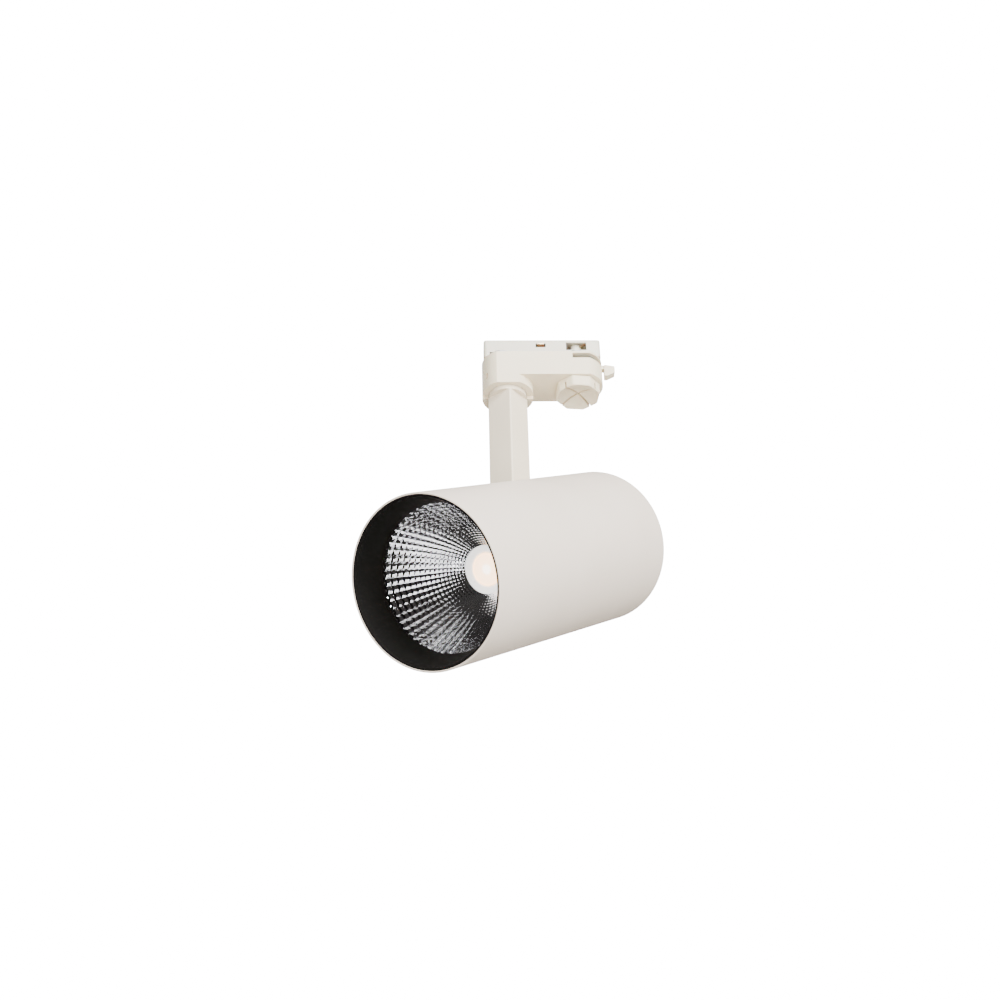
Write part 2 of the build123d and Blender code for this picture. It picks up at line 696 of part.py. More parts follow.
nodes_head = {}
nodes_head["housing"] = housing()
nodes_head["anti_glare_ring"] = anti_glare_ring()
nodes_head["reflector"] = reflector()
board_low = pad_t
board_top = pad_t + board_t
nodes_head["thermal_pad"] = optic(slab(Rectangle(board_w, board_w), 0, pad_t))
nodes_head["cob_board"] = optic(slab(Rectangle(board_w, board_w), board_low, board_top))
nodes_head["led_disc"] = optic(rod(led_r, board_top, board_top + led_t))
nodes_head["cob_holder"] = optic(cob_holder())
nodes_head["holder_screws"] = group([
    optic(Pos(x, 0, holder_t) * screw(7.0, pan_head_r, 1.6)) for x in (-holder_screw_x, holder_screw_x)
])
nodes_head["heat_sink"] = heat_sink()
nodes_head["pivot_bracket"] = pivot_bracket()
nodes_head["bracket_screws"] = group([
    Pos(x, sink_end + ear_t, z) * along_y(screw(8.0, pan_head_r, 1.6)) for x, z in bracket_spots
])
bolt_low = -ear_out
nut_x = ear_out + spring_washer_t
head_hex = rod(5.2, bolt_low - 3.2, bolt_low) - slab(hexagon(2.9), bolt_low - 3.2, bolt_low - 1.2)
nodes_head["pivot_bolt"] = along_x(head_hex + rod(bolt_r, bolt_low, nut_x + nut_t + 0.8))
nodes_head["spring_washer"] = along_x(tube(5.6, bolt_r + 0.1, ear_out, nut_x))
nodes_head["pivot_nut"] = along_x(slab(hexagon(5.8) - Circle(bolt_r), nut_x, nut_x + nut_t))

# trough that closes the head's inside off from the arm's slot
def slot_liner():
    low = liner_floor - liner_wall
    trough = block((-liner_out, liner_out), (-liner_out, cover_y), (low, liner_top))
    trough -= block((-liner_in, liner_in), (-liner_in, cover_y), (liner_floor, liner_top))
    # its lower front is cut away round the bracket
    wide = (-2 * liner_out, 2 * liner_out)
    trough -= block(wide, (-2 * liner_out, bracket_back + 0.5), (-head_r, bracket_top + 0.5))
    for y in driver_screw_y:
        trough -= Pos(0, y, 0) * rod(screw_r, low, liner_floor)
    return trough


def driver_case():
    x = driver_w / 2
    rim = driver_top - driver_wall
    case = block((-x, x), driver_y, (driver_low, rim))
    inside_y = (driver_y[0] + driver_wall, driver_y[1] - driver_wall)
    x_in = x - driver_wall
    case -= block((-x_in, x_in), inside_y, (driver_low + driver_wall, rim))
    case = fillet(case.edges().filter_by(Axis.Y).group_by(Axis.Z)[0], 1.2)
    case -= Pos(0, driver_y[0], lead_drop) * along_y(rod(lead_r + 0.3, 0, driver_wall))
    return case - Pos(led_lead_x, driver_y[0], led_lead_z) * along_y(rod(led_lead_r + 0.3, 0, driver_wall))


nodes_head["slot_liner"] = slot_liner()
nodes_head["driver_case"] = driver_case()
lid = block((-driver_w / 2, driver_w / 2), driver_y, (driver_top - driver_wall, driver_top))
for y in driver_screw_y:
    lid -= Pos(0, y, 0) * rod(screw_r, driver_top - driver_wall, driver_top)
nodes_head["driver_lid"] = lid
board_z = driver_low + driver_wall + standoff
x_in = driver_w / 2 - driver_wall
board_y = (driver_y[0] + driver_wall + board_inset, driver_y[1] - driver_wall - board_inset)
pcb = block((-x_in + 0.3, x_in - 0.3), board_y, (board_z, board_z + driver_board_t))
for x in (-x_in + 4, x_in - 4):
    for y in (board_y[0] + 4, board_y[1] - 4):
        pcb += Pos(x, y) * rod(2.0, driver_low + driver_wall, board_z)
nodes_head["driver_board"] = pcb
part_z = board_z + driver_board_t
parts = [
    block((-12, 12), (driver_y[0] + 52, driver_y[0] + 72), (part_z, part_z + 13)),
    Pos(22, driver_y[0] + 30) * rod(6.0, part_z, part_z + 13),
    Pos(-22, driver_y[0] + 30) * rod(5.0, part_z, part_z + 12),
    block((14, 30), (driver_y[0] + 56, driver_y[0] + 64), (part_z, part_z + 10)),
    block((-30, -16), (driver_y[0] + 74, driver_y[0] + 86), (part_z, part_z + 9)),
]
nodes_head["driver_components"] = group(parts)
nodes_head["driver_screws"] = group([
    Pos(0, y, liner_floor) * screw(4.0, pan_head_r, 1.4) for y in driver_screw_y
])


def rear_cover():
    r = bore_r - 0.1
    inner = cover_y - head_rear
    disc = rod(r, inner, inner + rear_cover_t) + tube(r, r - 2.0, inner - 6.0, inner)
    disc = fillet(disc.faces().sort_by(Axis.Z)[-1].edges(), 0.8)
    disc = Pos(0, head_rear, 0) * along_y(disc)
    # notch for the arm, and a wider one behind it for the liner
    lap = liner_out + fit_gap
    low = liner_floor - liner_wall - fit_gap
    disc -= block((-slot_half, slot_half), (0, head_rear + 1), (liner_floor, head_r))
    disc -= block((-lap, lap), (0, cover_y), (low, head_r))
    for x, z in rod_spots:
        disc -= Pos(x, cover_y + rear_cover_t, z) * along_y(sink_cut(3.2) + rod(1.7, -rear_cover_t, 0))
    return disc


nodes_head["rear_cover"] = rear_cover()
nodes_head["rear_cover_screws"] = group([
    Pos(x, cover_y + rear_cover_t, z) * along_y(sunk_screw(8.0, 3.2)) for x, z in rod_spots
])
tie = rod(rod_r, 0, cover_y - sink_end) + rod(1.6, -5.8, 0)
tie -= rod(screw_r, cover_y - sink_end - 7.0, cover_y - sink_end)
nodes_head["tie_rods"] = group([Pos(x, sink_end, z) * along_y(tie) for x, z in rod_spots])
grub = rod(grub_r, -7.6, -0.4) - Pos(0, 0, -0.4) * slab(hexagon(1.1), -1.6, 1.0)
nodes_head["housing_screws"] = group([radial(a) * grub for a in grub_angles])

# wires inside the head: driver to LED, and arm to driver
lead_front = sink_face - holder_t / 2 - head_front
holder_x = holder_r * sqrt(0.5) + 0.3
led_route = FilletPolyline(
    (led_lead_x, driver_gap, led_lead_z), (led_lead_x, lead_front, led_lead_z),
    (holder_x, lead_front, -holder_x), radius=4.0
)
led_start = Plane(origin=led_route @ 0, z_dir=led_route % 0)
nodes_head["led_lead"] = sweep(led_start * Circle(led_lead_r), path=led_route)
supply_route = FilletPolyline(
    (0, lead_y, -bracket_top + ear_t), (0, lead_y, lead_drop), (0, driver_gap, lead_drop), radius=6.0
)
supply_start = Plane(origin=supply_route @ 0, z_dir=supply_route % 0)
nodes_head["supply_lead"] = sweep(supply_start * Circle(lead_r), path=supply_route)

for name, shape in nodes_head.items():
    nodes[name] = head_at * shape

for name, shape in nodes.items():
    export_step(shape, f"parts/{name}.step")
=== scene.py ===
import bmesh
import bpy
import json
from math import cos, pi, radians, sin, sqrt, tau
from mathutils import Matrix, Vector

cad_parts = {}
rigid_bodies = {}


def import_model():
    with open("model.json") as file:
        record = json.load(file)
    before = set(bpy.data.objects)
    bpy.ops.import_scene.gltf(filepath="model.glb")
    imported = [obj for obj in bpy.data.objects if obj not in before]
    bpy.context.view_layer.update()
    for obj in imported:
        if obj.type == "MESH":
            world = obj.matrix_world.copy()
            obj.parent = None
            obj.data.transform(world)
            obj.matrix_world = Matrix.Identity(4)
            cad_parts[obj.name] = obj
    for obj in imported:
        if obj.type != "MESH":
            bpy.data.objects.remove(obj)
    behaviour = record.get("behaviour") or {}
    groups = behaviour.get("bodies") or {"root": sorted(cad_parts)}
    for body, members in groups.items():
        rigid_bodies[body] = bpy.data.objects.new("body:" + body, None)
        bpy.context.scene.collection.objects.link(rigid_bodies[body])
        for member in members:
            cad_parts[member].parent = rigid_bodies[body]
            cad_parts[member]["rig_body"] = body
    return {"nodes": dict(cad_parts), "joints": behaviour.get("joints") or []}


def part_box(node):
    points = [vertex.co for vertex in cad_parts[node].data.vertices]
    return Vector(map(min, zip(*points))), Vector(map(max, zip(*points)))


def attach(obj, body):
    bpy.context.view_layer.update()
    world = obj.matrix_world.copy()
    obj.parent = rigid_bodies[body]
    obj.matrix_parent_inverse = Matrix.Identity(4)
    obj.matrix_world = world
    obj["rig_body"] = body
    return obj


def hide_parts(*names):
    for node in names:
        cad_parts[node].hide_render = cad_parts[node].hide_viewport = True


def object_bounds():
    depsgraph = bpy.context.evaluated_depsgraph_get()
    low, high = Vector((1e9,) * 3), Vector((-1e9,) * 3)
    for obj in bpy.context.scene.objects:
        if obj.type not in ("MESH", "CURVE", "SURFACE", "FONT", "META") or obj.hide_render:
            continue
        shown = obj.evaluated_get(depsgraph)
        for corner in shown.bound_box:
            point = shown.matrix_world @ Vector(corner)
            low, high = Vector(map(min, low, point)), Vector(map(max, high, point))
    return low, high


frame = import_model()
cad_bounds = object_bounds()

# ---- Adapter shell ----
# The housing that hangs under the rail: one injection moulding in warm white polycarbonate, about
# two millimetres thick, with a round boss for the arm and a spark-eroded surface from its tool.
mm = 0.001
shell_edge = 0.45 * mm
shell_grain = 0.35 * mm
shell_colour = "EDE1C6"


def linear(hex_colour):
    """An sRGB hex colour as the linear RGBA that shaders take."""
    values = [int(hex_colour[i:i + 2], 16) / 255 for i in (0, 2, 4)]
    return [v / 12.92 if v <= 0.04045 else ((v + 0.055) / 1.055) ** 2.4 for v in values] + [1.0]


def add_node(tree, kind, inputs=None, **settings):
    """One shader node. Settings are its own options; inputs are socket values, or sockets to link."""
    made = tree.nodes.new("ShaderNode" + kind)
    for option, value in settings.items():
        setattr(made, option, value)
    for socket, value in (inputs or {}).items():
        if isinstance(value, bpy.types.NodeSocket):
            tree.links.new(value, made.inputs[socket])
        else:
            made.inputs[socket].default_value = value
    return made


def new_surface(name, **sockets):
    """An empty material with its Principled shader, and the place of each point on the piece."""
    material = bpy.data.materials.new(name)
    material.use_nodes = True
    tree = material.node_tree
    tree.nodes.clear()
    shader = add_node(tree, "BsdfPrincipled", {k.replace("_", " "): v for k, v in sockets.items()})
    add_node(tree, "OutputMaterial", {"Surface": shader.outputs[0]})
    place = add_node(tree, "TexCoord").outputs["Object"]
    return material, tree, shader, place


def two_tones(tree, pattern, low, high, shade, colour):
    """A ramp from the shade, where the pattern is at or under low, to the colour at high."""
    ramp = add_node(tree, "ValToRGB", {"Fac": pattern.outputs["Fac"]})
    for element, position, tone in zip(ramp.color_ramp.elements, (low, high), (shade, colour)):
        element.position = position
        element.color = linear(tone)
    return ramp


def finish(tree, shader, tones, sheen, relief):
    """Link a surface's colour, roughness and relief to its shader."""
    tree.links.new(tones.outputs["Color"], shader.inputs["Base Color"])
    tree.links.new(sheen.outputs["Result"], shader.inputs["Roughness"])
    tree.links.new(relief.outputs["Normal"], shader.inputs["Normal"])


def grained(name, colour, shade, grain, height, rough, spread, **sockets):
    """A surface with a fine even grain: two close tones, a matching roughness and a shallow relief."""
    material, tree, shader, place = new_surface(name, **sockets)
    fine = add_node(tree, "TexNoise", {"Vector": place, "Scale": 1 / grain, "Detail": 3.0})
    broad = add_node(tree, "TexNoise", {"Vector": place, "Scale": 0.012 / grain, "Detail": 2.0})
    tones = two_tones(tree, broad, 0.3, 0.7, shade, colour)
    sheen = add_node(tree, "MapRange", {
        "Value": fine.outputs["Fac"], "To Min": rough - spread, "To Max": rough + spread
    })
    relief = add_node(tree, "Bump", {"Height": fine.outputs["Fac"], "Distance": height, "Strength": 0.6})
    finish(tree, shader, tones, sheen, relief)
    return material


def stand_in(piece, node):
    """Show the piece in a CAD node's place, on the same body."""
    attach(piece, frame["nodes"][node]["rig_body"])
    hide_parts(node)


def edge_rounded(node, edge, material, steps=2):
    """A piece with a CAD node's shape, its sharp edges broken by this much as the real one's are."""
    mesh = frame["nodes"][node].data.copy()
    mesh.name = node + "_finished"
    form = bmesh.new()
    form.from_mesh(mesh)
    bmesh.ops.remove_doubles(form, verts=form.verts, dist=2e-6)
    bmesh.ops.dissolve_limit(form, angle_limit=radians(0.6), verts=form.verts, edges=form.edges)
    form.to_mesh(mesh)
    form.free()
    if "custom_normal" in mesh.attributes:
        mesh.attributes.remove(mesh.attributes["custom_normal"])
    mesh.shade_smooth()
    mesh.set_sharp_from_angle(angle=radians(18))
    mesh.materials.clear()
    mesh.materials.append(material)
    piece = bpy.data.objects.new(node + "_finished", mesh)
    bpy.context.scene.collection.objects.link(piece)
    bevel = piece.modifiers.new("broken edges", "BEVEL")
    bevel.width = edge
    bevel.segments = steps
    bevel.limit_method = "ANGLE"
    bevel.angle_limit = radians(18)
    bevel.harden_normals = True
    stand_in(piece, node)


# Moulded polycarbonate: satin, because the tool's grain breaks up the highlight, with a slight
# warmth from light that enters the surface.
polycarbonate = grained(
    "moulded_polycarbonate", shell_colour, "E9DCC0", shell_grain, 0.03 * mm, 0.46, 0.06,
    IOR=1.585, Subsurface_Weight=0.08, Subsurface_Scale=1.5 * mm
)
edge_rounded("adapter_shell", shell_edge, polycarbonate)

# ---- Track insert and its cover ----
# The base plate with the riser that enters the rail, and the lid on top. Both are moulded in
# natural polycarbonate without added pigment, so they are a little yellower than the shell.
insert_plastic = grained(
    "natural_polycarbonate", "DDD7C6", "D6CFBC", 0.5 * mm, 0.02 * mm, 0.4, 0.05,
    IOR=1.585, Subsurface_Weight=0.12, Subsurface_Scale=2 * mm
)
for node in ("track_insert", "insert_cover"):
    edge_rounded(node, 0.25 * mm, insert_plastic)
edge_rounded("terminal_block", 0.3 * mm, insert_plastic)

# ---- Contacts ----
# Earth springs, neutral tongue and phase tongues, blanked from tinned bronze strip and bent. The
# rolling direction shows as faint lines across a warm metal.


def drawn_metal(name, colour, shade, rough, line=0.4 * mm, stretch=14.0, **sockets):
    """Bright metal whose rolling or turning lines run along one axis."""
    material, tree, shader, place = new_surface(name, Metallic=1.0, **sockets)
    along = add_node(tree, "Mapping", {"Vector": place, "Scale": (1 / stretch, 1.0, 1.0)})
    lines = add_node(tree, "TexNoise", {"Vector": along.outputs[0], "Scale": 1 / line, "Detail": 4.0})
    tones = two_tones(tree, lines, 0.35, 0.65, shade, colour)
    sheen = add_node(tree, "MapRange", {
        "Value": lines.outputs["Fac"], "To Min": rough - 0.06, "To Max": rough + 0.08
    })
    relief = add_node(tree, "Bump", {"Height": lines.outputs["Fac"], "Distance": 0.01 * mm, "Strength": 0.28})
    finish(tree, shader, tones, sheen, relief)
    return material


bronze = drawn_metal("tinned_bronze_strip", "D8C0A4", "C8AE90", 0.3)
for node in ("earth_contacts", "neutral_contact", "phase_contacts"):
    edge_rounded(node, 0.12 * mm, bronze)

# ---- Circuit selector ----
# A knob with four dished petals on a stepped spindle. The knob is moulded with the shell's grain;
# the spindle carries the notched wheel and the drum for the phase tongues.
edge_rounded("selector_knob", 0.3 * mm, polycarbonate)
edge_rounded("selector_spindle", 0.2 * mm, insert_plastic)
spring_strip = drawn_metal("hardened_spring_strip", "A9A9AC", "8E8E92", 0.3)
edge_rounded("detent_spring", 0.1 * mm, spring_strip)

# ---- Locking lever and cams ----
# The lever is moulded like the shell. It turns two die-cast zinc cams over the rail's lips, joined
# by a blanked steel link.
zinc = grained("die_cast_zinc", "A5A6A9", "96979A", 0.6 * mm, 0.03 * mm, 0.42, 0.08, Metallic=1.0)
plated_steel = drawn_metal("zinc_plated_steel", "BFC2C6", "A9ACB2", 0.26)
edge_rounded("lock_lever", 0.35 * mm, polycarbonate)
for node in ("lock_cam", "far_cam"):
    edge_rounded(node, 0.3 * mm, zinc)
edge_rounded("lock_link", 0.15 * mm, plated_steel)

# ---- Swivel and arm ----
# A die-cast hub turns in the boss and is plugged into a square aluminium tube. Both are powder
# coated in one batch, so they match each other and are a shade creamier than the head.


def powder_coat(name, colour, shade, **sockets):
    """Sprayed and baked powder: satin, with the slight orange peel that it flows out to."""
    material, tree, shader, place = new_surface(name, **sockets)
    peel = add_node(tree, "TexNoise", {"Vector": place, "Scale": 1 / (1.1 * mm), "Detail": 2.0})
    grit = add_node(tree, "TexNoise", {"Vector": place, "Scale": 1 / (0.25 * mm), "Detail": 2.0})
    broad = add_node(tree, "TexNoise", {"Vector": place, "Scale": 1 / (60 * mm), "Detail": 1.0})
    tones = two_tones(tree, broad, 0.3, 0.7, shade, colour)
    sheen = add_node(tree, "MapRange", {"Value": grit.outputs["Fac"], "To Min": 0.42, "To Max": 0.56})
    waves = add_node(tree, "Bump", {"Height": peel.outputs["Fac"], "Distance": 0.02 * mm, "Strength": 0.35})
    grains = add_node(tree, "Bump", {
        "Height": grit.outputs["Fac"], "Normal": waves.outputs["Normal"], "Distance": 0.008 * mm, "Strength": 0.3
    })
    finish(tree, shader, tones, sheen, grains)
    return material


arm_coat = powder_coat("cream_white_powder_coat", "E7DAC3", "E2D5BD", IOR=1.5)
edge_rounded("swivel_hub", 0.5 * mm, arm_coat)
edge_rounded("arm_tube", 0.3 * mm, arm_coat)
acetal = grained("turned_acetal", "2B2B2B", "242424", 0.5 * mm, 0.01 * mm, 0.35, 0.05, IOR=1.48)
for node in ("pivot_bushes", "friction_washers"):
    edge_rounded(node, 0.15 * mm, acetal)
for node in ("stop_washer", "swivel_nut"):
    edge_rounded(node, 0.2 * mm, plated_steel)
edge_rounded("wave_washer", 0.1 * mm, spring_strip)

# ---- Head housing ----
# An aluminium tube, cut and slotted, then powder coated inside and out. Its front edge is turned
# down to a thin lip round the anti-glare ring, where the coat builds up a little.
head_coat = powder_coat("warm_white_powder_coat", "E8DBCD", "E3D6C7", IOR=1.5)
edge_rounded("housing", 0.35 * mm, head_coat, steps=3)

# The head's own axes, from its tilt joint and the lamp disc that sits on its centre line: side,
# rear and top, with the tilt axis at the origin.
tilt = next(joint for joint in frame["joints"] if joint["name"] == "head_tilt")
pivot = Vector(tilt["pos_m"])
side = Vector(tilt["axis"]).normalized()
disc_low, disc_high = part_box("led_disc")
rear = (pivot - (disc_low + disc_high) / 2).normalized()
top = side.cross(rear)
head_axes = Matrix((side, rear, top)).transposed().to_4x4()
head_axes.translation = pivot
head_inverse = head_axes.inverted()


def in_head(node):
    """A CAD node's box along the head's axes, and its largest radius about the centre line."""
    points = [head_inverse @ vertex.co for vertex in frame["nodes"][node].data.vertices]
    low = Vector([min(p[i] for p in points) for i in range(3)])
    high = Vector([max(p[i] for p in points) for i in range(3)])
    return low, high, max(sqrt(p.x ** 2 + p.z ** 2) for p in points)


def turned(name, profile, steps, material):
    """A piece turned round the head's centre line, from (radius, distance to the rear) points."""
    mesh = bpy.data.meshes.new(name)
    form = bmesh.new()
    rings = [
        [form.verts.new((r * cos(tau * i / steps), y, r * sin(tau * i / steps))) for i in range(steps)]
        for r, y in profile
    ]
    for inner, outer in zip(rings, rings[1:] + rings[:1]):
        for i in range(steps):
            j = (i + 1) % steps
            form.faces.new((inner[i], inner[j], outer[j], outer[i]))
    bmesh.ops.recalc_face_normals(form, faces=form.faces)
    form.to_mesh(mesh)
    form.free()
    mesh.shade_smooth()
    mesh.set_sharp_from_angle(angle=radians(40))
    mesh.materials.append(material)
    piece = bpy.data.objects.new(name, mesh)
    bpy.context.scene.collection.objects.link(piece)
    piece.matrix_world = head_axes
    return piece


# ---- Anti-glare ring ----
# A spun aluminium cone let into the front lip, coated matt black so that it throws no light
# sideways. Its rolled front edge catches a thin line of light.
black_coat, tree, shader, place = new_surface("matt_black_powder_coat", IOR=1.5, Specular_IOR_Level=0.12)
speck = add_node(tree, "TexNoise", {"Vector": place, "Scale": 1 / (0.5 * mm), "Detail": 4.0, "Roughness": 0.7})
speckle = two_tones(tree, speck, 0.4, 0.72, "080706", "141210")
speck_relief = add_node(tree, "Bump", {"Height": speck.outputs["Fac"], "Distance": 0.06 * mm, "Strength": 0.7})
tree.links.new(speckle.outputs["Color"], shader.inputs["Base Color"])
tree.links.new(speck_relief.outputs["Normal"], shader.inputs["Normal"])
shader.inputs["Roughness"].default_value = 0.7

ring_low, ring_high, ring_r = in_head("anti_glare_ring")
ring_wall = 1.4 * mm
front_r = ring_r - 1.45 * mm
back_r = 51.3 * mm
front_y, back_y = ring_low.y, ring_high.y
roll = 0.45 * mm
roll_points = [
    (front_r + roll - roll * cos(i * pi / 12), front_y + roll - roll * sin(i * pi / 12)) for i in range(7)
]
cone = [
    (back_r + ring_wall, back_y), (back_r, back_y), (back_r, back_y - 0.3 * mm), *roll_points,
    (ring_r - 0.2 * mm, front_y), (ring_r, front_y + 0.2 * mm), (ring_r, front_y + 3.9 * mm),
    (front_r + ring_wall, front_y + 5 * mm)
]
ring = turned("anti_glare_cone", cone, 192, black_coat)
ring.data.transform(head_axes)
ring.matrix_world = Matrix()
stand_in(ring, "anti_glare_ring")

# ---- Faceted reflector ----
# A moulded bowl, vacuum metallised. Sixty columns of pillow-shaped facets get smaller towards the
# neck; each mirrors the whole opening, so it shows a bright spot with a dark border.
bowl_low, bowl_high, bowl_flange_r = in_head("reflector")
columns = 60
fine_steps = 4
mouth_r = 51.1 * mm
neck_r = 17.3 * mm
mouth_y, neck_y = bowl_low.y + 0.1 * mm, bowl_high.y
rise = (mouth_r ** 2 - neck_r ** 2) / (neck_y - mouth_y)
facet_bulge = 0.09           # height of a pillow as a share of its width


def bowl_radius(y):
    return sqrt(mouth_r ** 2 - rise * (y - mouth_y))


# each ring of facets is as tall as it is wide, measured along the bowl's wall
ring_ys = [mouth_y]
while ring_ys[-1] < neck_y:
    r = bowl_radius(ring_ys[-1])
    slope = rise / (2 * r)
    ring_ys.append(ring_ys[-1] + 0.97 * tau * r / columns / sqrt(1 + slope ** 2))
    if bowl_radius(min(ring_ys[-1], neck_y)) <= neck_r:
        break
stretch = (neck_y - mouth_y) / (ring_ys[-1] - mouth_y)
ring_ys = [mouth_y + (y - mouth_y) * stretch for y in ring_ys]

bowl = bmesh.new()
rows = []
for k in range((len(ring_ys) - 1) * fine_steps + 1):
    band, part = divmod(k, fine_steps)
    v = part / fine_steps
    y = ring_ys[band] + (v * (ring_ys[band + 1] - ring_ys[band]) if part else 0)
    r = bowl_radius(y)
    row = []
    for i in range(columns * fine_steps):
        u = (i % fine_steps) / fine_steps
        width = tau * r / columns
        pillow = facet_bulge * width * 16 * u * (1 - u) * v * (1 - v)
        # the flat of each facet cuts inside the round bowl
        chord = r * (1 - cos(pi / columns)) * 4 * u * (1 - u)
        a = tau * i / (columns * fine_steps)
        inward = r - pillow - chord
        row.append(bowl.verts.new((inward * cos(a), y, inward * sin(a))))
    rows.append(row)
flange_angles = [tau * i / len(rows[0]) for i in range(len(rows[0]))]
flange_row = [
    bowl.verts.new((bowl_flange_r * cos(a), mouth_y, bowl_flange_r * sin(a))) for a in flange_angles
]
for upper, lower in zip([flange_row] + rows, rows):
    for i in range(len(upper)):
        j = (i + 1) % len(upper)
        bowl.faces.new((upper[i], lower[i], lower[j], upper[j]))
bmesh.ops.recalc_face_normals(bowl, faces=bowl.faces)
if bowl.faces[0].normal.y > 0:
    bmesh.ops.reverse_faces(bowl, faces=bowl.faces)
for face in bowl.faces:
    face.smooth = True
for k, row in enumerate(rows):
    for i, vertex in enumerate(row):
        if k % fine_steps == 0:
            bowl.edges.get((vertex, row[(i + 1) % len(row)])).smooth = False
        if i % fine_steps == 0 and k + 1 < len(rows):
            bowl.edges.get((vertex, rows[k + 1][i])).smooth = False
bowl_mesh = bpy.data.meshes.new("faceted_bowl")
bowl.to_mesh(bowl_mesh)
bowl.free()

# Vacuum-metallised aluminium under a thin clear lacquer: a near-perfect mirror, a little soft.
mirror, tree, shader, place = new_surface("metallised_reflector", Metallic=1.0)
shader.inputs["Base Color"].default_value = linear("EEEEF0")
haze = add_node(tree, "TexNoise", {"Vector": place, "Scale": 1 / (6 * mm), "Detail": 2.0})
mirror_sheen = add_node(tree, "MapRange", {"Value": haze.outputs["Fac"], "To Min": 0.04, "To Max": 0.08})
tree.links.new(mirror_sheen.outputs["Result"], shader.inputs["Roughness"])
bowl_mesh.materials.append(mirror)
bowl_mesh.transform(head_axes)
reflector = bpy.data.objects.new("faceted_bowl", bowl_mesh)
bpy.context.scene.collection.objects.link(reflector)
wall = reflector.modifiers.new("bowl wall", "SOLIDIFY")
wall.thickness = 1.0 * mm
wall.offset = -1.0
stand_in(reflector, "reflector")

# ---- Light source ----
# A chip-on-board LED: an alumina board with a round dam filled with phosphor gel, pressed to the
# heat sink by a plastic holder on two screws, over a grey thermal pad.
gel_low, gel_high, gel_r = in_head("led_disc")
gel_back, gel_front = gel_high.y, gel_low.y
dam_w = 0.8 * mm
dam_h = 0.25 * mm
centre_r = 0.05 * mm
gel_profile = [
    (centre_r, gel_back), (gel_r, gel_back), (gel_r, gel_front + dam_h),
    *[
        (gel_r - dam_w / 2 + dam_w / 2 * cos(i * pi / 6), gel_front + dam_h - dam_h * sin(i * pi / 6))
        for i in range(1, 6)
    ],
    (gel_r - dam_w, gel_front + 0.35 * mm), (gel_r * 0.6, gel_front + 0.15 * mm),
    (centre_r, gel_front + 0.05 * mm)
]
gel, tree, shader, place = new_surface(
    "phosphor_gel", IOR=1.45, Roughness=0.22, Subsurface_Weight=0.3, Subsurface_Scale=1 * mm
)
gel_from_centre = add_node(tree, "VectorMath", {0: place}, operation="LENGTH")
gel_spread = add_node(tree, "MapRange", {
    "Value": gel_from_centre.outputs["Value"],
    "From Min": abs(gel_front), "From Max": sqrt(gel_front ** 2 + gel_r ** 2)
})
gel_glow = add_node(tree, "ValToRGB", {"Fac": gel_spread.outputs["Result"]})
gel_glow.color_ramp.elements[0].color = linear("FFF4E6")
gel_glow.color_ramp.elements[1].color = linear("FFD2A6")
gel_glow.color_ramp.elements.new(0.08).color = linear("FFD9B2")
tree.links.new(gel_glow.outputs["Color"], shader.inputs["Base Color"])
tree.links.new(gel_glow.outputs["Color"], shader.inputs["Emission Color"])
shader.inputs["Emission Strength"].default_value = 5.0
lamp_disc = turned("phosphor_disc", gel_profile, 96, gel)
stand_in(lamp_disc, "led_disc")

alumina = grained("white_alumina", "EFEDE8", "E8E5DF", 0.4 * mm, 0.01 * mm, 0.3, 0.05, IOR=1.76)
edge_rounded("cob_board", 0.1 * mm, alumina)
pad_rubber = grained("silicone_thermal_pad", "8C9096", "82868C", 0.5 * mm, 0.02 * mm, 0.7, 0.06, IOR=1.41)
edge_rounded("thermal_pad", 0.05 * mm, pad_rubber)
# The holder's white emission is a painted glow. The plastic is no lamp; the glow stands in for the LED's light
# falling on the holder round the disc.
holder_with_painted_glow = grained(
    "glass_filled_nylon_painted_glow", "F6F5F2", "EFEEEA", 0.45 * mm, 0.02 * mm, 0.42, 0.06, IOR=1.53,
    Emission_Color=linear("FFFFFF"), Emission_Strength=1.2
)
edge_rounded("cob_holder", 0.25 * mm, holder_with_painted_glow)

# ---- Heat sink ----
# Turned aluminium base with radial fins behind it, left bare. Turning leaves fine rings, and the
# fins keep the grain of the extrusion.
bare_aluminium = drawn_metal("bare_aluminium", "D4D6D8", "C2C5C8", 0.3, line=0.5 * mm)
edge_rounded("heat_sink", 0.2 * mm, bare_aluminium)

# ---- Tilt bracket ----
# A folded steel bracket on the heat sink holds the arm's end between two ears. Bolt, spring washer
# and nut set the friction of the tilt.
for node in ("pivot_bracket", "pivot_bolt", "pivot_nut"):
    edge_rounded(node, 0.25 * mm, plated_steel)
edge_rounded("spring_washer", 0.1 * mm, spring_strip)

# ---- Slot liner ----
# A black trough under the slot closes the head's inside off from the arm. It is folded sheet with
# the same coat as the cone.
edge_rounded("slot_liner", 0.2 * mm, black_coat)

# ---- LED driver ----
# A moulded ABS case with its lid screwed to the liner, and a circuit board inside it with a
# transformer, capacitors and a choke.
driver_abs = grained("textured_dark_abs", "3A3A3C", "333335", 0.6 * mm, 0.04 * mm, 0.5, 0.06, IOR=1.54)
for node in ("driver_case", "driver_lid"):
    edge_rounded(node, 0.4 * mm, driver_abs)
laminate = grained("epoxy_laminate", "1F6B3A", "1A5C31", 0.8 * mm, 0.01 * mm, 0.3, 0.05, IOR=1.52)
edge_rounded("driver_board", 0.1 * mm, laminate)
sleeving = grained("shrink_sleeve", "26262A", "1F1F22", 1.0 * mm, 0.01 * mm, 0.35, 0.05, IOR=1.5)
edge_rounded("driver_components", 0.6 * mm, sleeving, steps=3)

# ---- Rear cover ----
# A pressed aluminium disc with a short skirt closes the back of the head. It has the head's coat
# and three countersunk screws into the tie rods.
edge_rounded("rear_cover", 0.4 * mm, head_coat)
edge_rounded("tie_rods", 0.2 * mm, plated_steel)

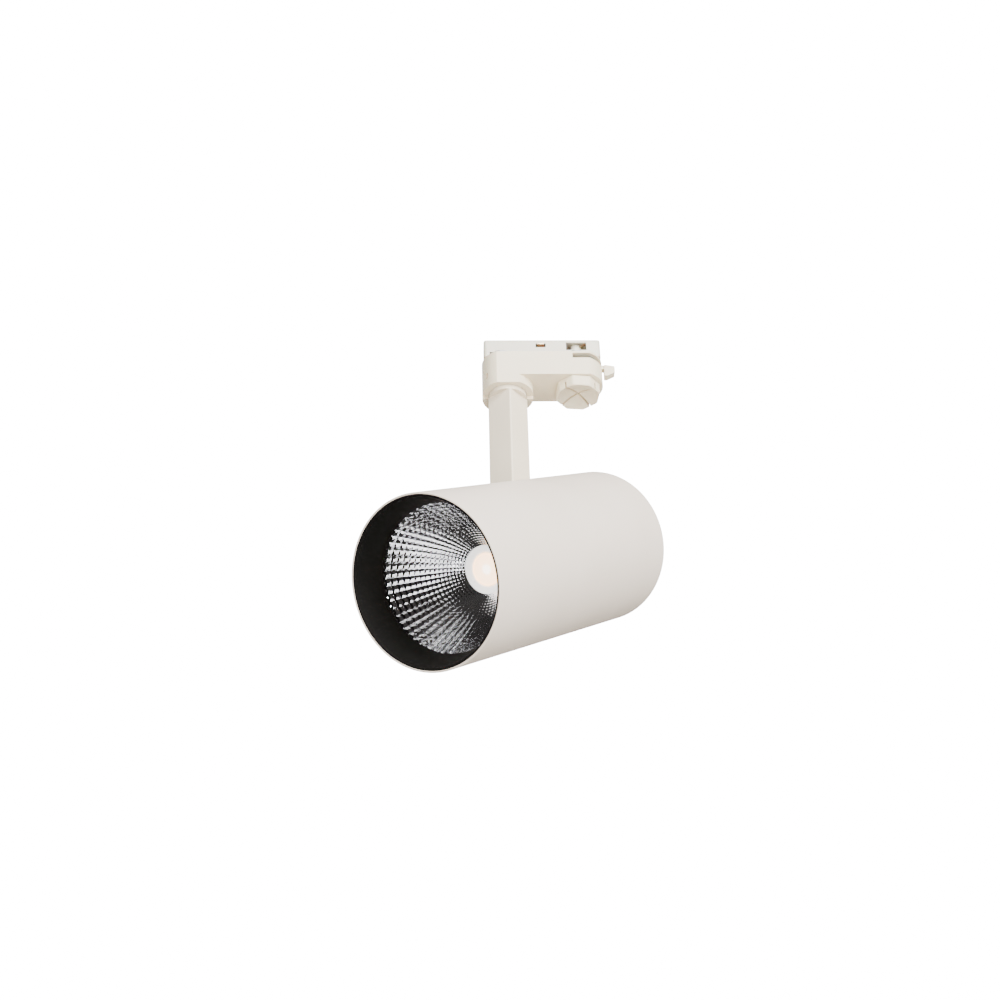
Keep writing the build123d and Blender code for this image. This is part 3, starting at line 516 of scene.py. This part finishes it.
# ---- Screws ----
# Machine screws with rolled threads and bright zinc plating, and brass clamp screws in the
# terminals.
for node in (
    "adapter_screws", "pan_lock_screw", "holder_screws", "bracket_screws", "driver_screws",
    "rear_cover_screws", "housing_screws"
):
    edge_rounded(node, 0.12 * mm, plated_steel)
brass = drawn_metal("turned_brass", "D3B06A", "BF9A55", 0.25)
edge_rounded("terminal_screws", 0.12 * mm, brass)

# ---- Wires ----
# Silicone-insulated stranded wire, slightly dusty and matt, from the terminals to the hub, down the
# arm, into the driver and on to the light source.
silicone = grained("silicone_insulation", "EDEBE6", "E2DFD8", 0.8 * mm, 0.02 * mm, 0.6, 0.06, IOR=1.41)
for node in ("adapter_wires", "arm_lead", "supply_lead", "led_lead"):
    wire = frame["nodes"][node]
    wire.data.materials.clear()
    wire.data.materials.append(silicone)

# ---- Floor, light and camera ----
# A pale matt floor well below the lamp, an even white backdrop, and five soft boxes. The room is
# dark to mirrors, so the reflector's facets part into highlights and black gaps. The camera looks
# up from below the front, as someone in the room would.
floor_drop = 1.2
floor_half = 30.0
floor_z = cad_bounds[0][2] - floor_drop
floor_form = bmesh.new()
corners = ((-1, -1), (1, -1), (1, 1), (-1, 1))
floor_form.faces.new([floor_form.verts.new((x * floor_half, y * floor_half, floor_z)) for x, y in corners])
floor_mesh = bpy.data.meshes.new("studio_floor")
floor_form.to_mesh(floor_mesh)
floor_form.free()
matt_floor = grained("matt_floor_paint", "E6E3DD", "E2DFD9", 4 * mm, 0.02 * mm, 0.8, 0.03, IOR=1.45)
floor_mesh.materials.append(matt_floor)
floor = bpy.data.objects.new("studio_floor", floor_mesh)
bpy.context.scene.collection.objects.link(floor)
floor.visible_glossy = False

world = bpy.data.worlds.new("bright_room")
bpy.context.scene.world = world
world.use_nodes = True
room = world.node_tree
room.nodes.clear()
path = add_node(room, "LightPath")
walls = add_node(room, "Background", {"Color": linear("FFFAF3"), "Strength": 0.4})
curtains = add_node(room, "Background", {"Color": linear("FFFAF3"), "Strength": 0.06})
backdrop = add_node(room, "Background", {"Color": linear("FFFFFF"), "Strength": 18.0})
lit = add_node(room, "MixShader", {
    0: path.outputs["Is Glossy Ray"], 1: walls.outputs[0], 2: curtains.outputs[0]
})
both = add_node(room, "MixShader", {
    0: path.outputs["Is Camera Ray"], 1: lit.outputs[0], 2: backdrop.outputs[0]
})
add_node(room, "OutputWorld", {"Surface": both.outputs[0]})

for name, place, width, height, power in (
    ("key_soft_box", (1.3, -1.7, 0.2), 0.4, 1.3, 128.0),
    ("fill_soft_box", (-1.5, -1.5, -0.25), 0.7, 1.2, 38.0),
    ("high_soft_box", (0.2, -1.5, 1.1), 0.8, 0.3, 36.0),
    ("low_soft_box", (0.35, -0.9, -1.35), 0.5, 0.2, 6.0),
    ("rear_soft_box", (-0.6, 1.9, 0.7), 1.4, 1.4, 40.0),
):
    lamp = bpy.data.lights.new(name, "AREA")
    lamp.shape = "RECTANGLE"
    lamp.size, lamp.size_y = width, height
    lamp.energy = power
    box = bpy.data.objects.new(name, lamp)
    bpy.context.scene.collection.objects.link(box)
    box.location = place
    box.rotation_euler = (pivot - Vector(place)).to_track_quat("-Z", "Y").to_euler()

camera_place = Vector((-0.0364, -0.877, -0.6895))
look_up, look_aside, lean = radians(32.65), radians(1.86), radians(-1.31)
forward = Vector((sin(look_aside) * cos(look_up), cos(look_aside) * cos(look_up), sin(look_up)))
level = Vector((cos(look_aside), -sin(look_aside), 0.0))
upright = level.cross(forward)
right = level * cos(lean) + upright * sin(lean)
upward = upright * cos(lean) - level * sin(lean)
view = Matrix((right, upward, -forward)).transposed().to_4x4()
view.translation = camera_place
lens = bpy.data.cameras.new("camera")
lens.lens = 50.25
lens.sensor_width = 36.0
lens.clip_start = 0.01
camera = bpy.data.objects.new("camera", lens)
bpy.context.scene.collection.objects.link(camera)
camera.matrix_world = view
bpy.context.scene.camera = camera
